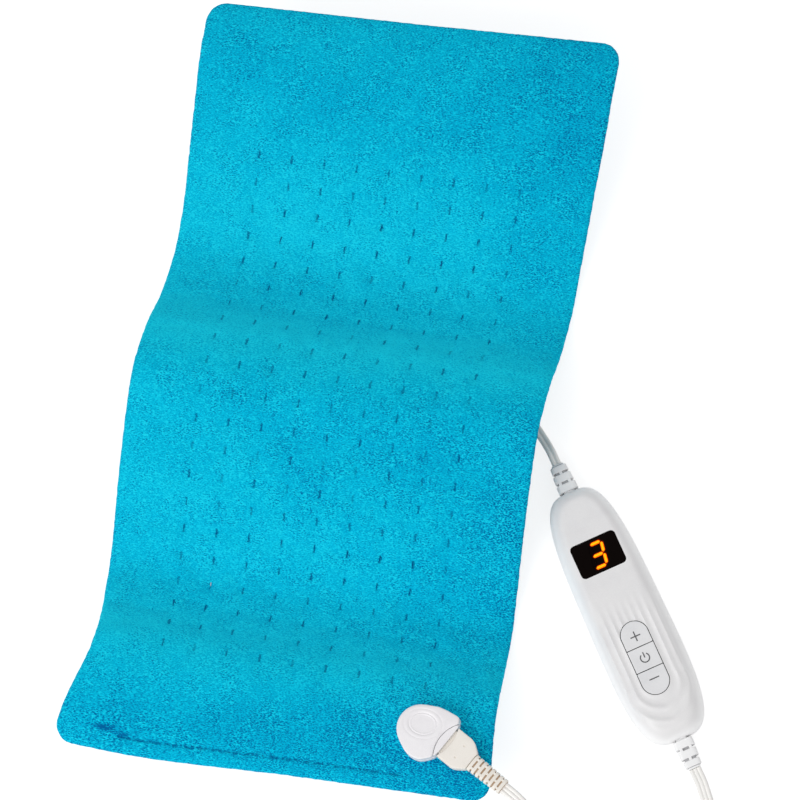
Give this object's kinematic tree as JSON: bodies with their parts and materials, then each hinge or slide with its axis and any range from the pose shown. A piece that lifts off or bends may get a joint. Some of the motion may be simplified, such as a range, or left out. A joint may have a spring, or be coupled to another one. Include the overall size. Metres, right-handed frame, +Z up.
{
  "type": "heating pad with controller",
  "caption": "Plush heating pad lying in waves, with a plug-in lead to a hand controller that has a digit display and three keys, and a coiled mains lead with a plug.",
  "frame": {"origin": "on the surface that the part lies on, in the middle of the pad's front trough, where it rests", "axes": "+X across the pad to its right side, where the controller lies, +Y along the pad to its top end, +Z up"},
  "size_m": [0.4985, 0.7056, 0.0691],
  "materials": {
    "plush": "short plush pile",
    "felt": "needled felt",
    "wire_sleeve": "silicone sleeve",
    "white_plastic": "satin",
    "cream_plastic": "satin",
    "key_plastic": "satin",
    "plug_plastic": "moulded",
    "lead_sheath": "soft satin",
    "black_window": "polished",
    "amber_diffuser": "diffusing",
    "dark_plastic": "moulded",
    "tie_plastic": "moulded",
    "contact_brass": "bright",
    "steel": "plated",
    "board_laminate": "solder mask",
    "capacitor_case": "moulded",
    "core_sleeve": "insulation"
  },
  "bodies": {
    "pad_and_controller": {"front_cover": "plush", "back_cover": "plush", "front_felt": "felt", "back_felt": "felt", "heating_wire": "wire_sleeve", "sensor_wire": "wire_sleeve", "temperature_sensor": "dark_plastic", "socket_base": "cream_plastic", "socket_body": "white_plastic", "socket_cap": "white_plastic", "socket_pin_1": "contact_brass", "socket_pin_2": "contact_brass", "socket_pin_3": "contact_brass", "socket_screw_1": "steel", "socket_screw_2": "steel", "pad_lead": "lead_sheath", "front_casing": "white_plastic", "rear_casing": "white_plastic", "casing_screw_1": "steel", "casing_screw_2": "steel", "casing_screw_3": "steel", "casing_screw_4": "steel", "display_window": "black_window", "display_diffuser": "amber_diffuser", "display_module": "dark_plastic", "switch_plus": "steel", "switch_power": "steel", "switch_minus": "steel", "circuit_board": "board_laminate", "fuse": "steel", "capacitor": "capacitor_case", "triac": "dark_plastic", "microcontroller": "dark_plastic", "pad_relief": "white_plastic", "mains_relief": "white_plastic", "mains_core_1": "core_sleeve", "mains_core_2": "core_sleeve", "pad_core_1": "core_sleeve", "pad_core_2": "core_sleeve", "pad_core_3": "core_sleeve", "mains_lead": "lead_sheath", "mains_lead_coil": "lead_sheath", "mains_lead_end": "lead_sheath", "coil_tie": "tie_plastic", "mains_plug_body": "plug_plastic", "plug_blade_1": "contact_brass", "plug_blade_2": "contact_brass"},
    "lead_plug": {"plug_lower_shell": "cream_plastic", "plug_upper_shell": "cream_plastic", "plug_contact_1": "contact_brass", "plug_contact_2": "contact_brass", "plug_contact_3": "contact_brass", "plug_boot": "cream_plastic"},
    "plus_key": {"key_plus": "key_plastic", "plunger_plus": "dark_plastic"},
    "power_key": {"key_power": "key_plastic", "plunger_power": "dark_plastic"},
    "minus_key": {"key_minus": "key_plastic", "plunger_minus": "dark_plastic"}
  },
  "joints": [
    {"name": "lead_plug_pull", "type": "slide", "parent": "pad_and_controller", "child": "lead_plug", "axis": [0.8746, -0.4848, 0], "range_m": [0, 0.016], "deforming": ["pad_lead"]},
    {"name": "plus_key_press", "type": "slide", "parent": "pad_and_controller", "child": "plus_key", "axis": [0, 0, -1], "range_m": [0, 0.0005], "stiffness_N_per_m": 600, "springref_m": -0.0005},
    {"name": "power_key_press", "type": "slide", "parent": "pad_and_controller", "child": "power_key", "axis": [0, 0, -1], "range_m": [0, 0.0005], "stiffness_N_per_m": 600, "springref_m": -0.0005},
    {"name": "minus_key_press", "type": "slide", "parent": "pad_and_controller", "child": "minus_key", "axis": [0, 0, -1], "range_m": [0, 0.0005], "stiffness_N_per_m": 600, "springref_m": -0.0005}
  ]
}
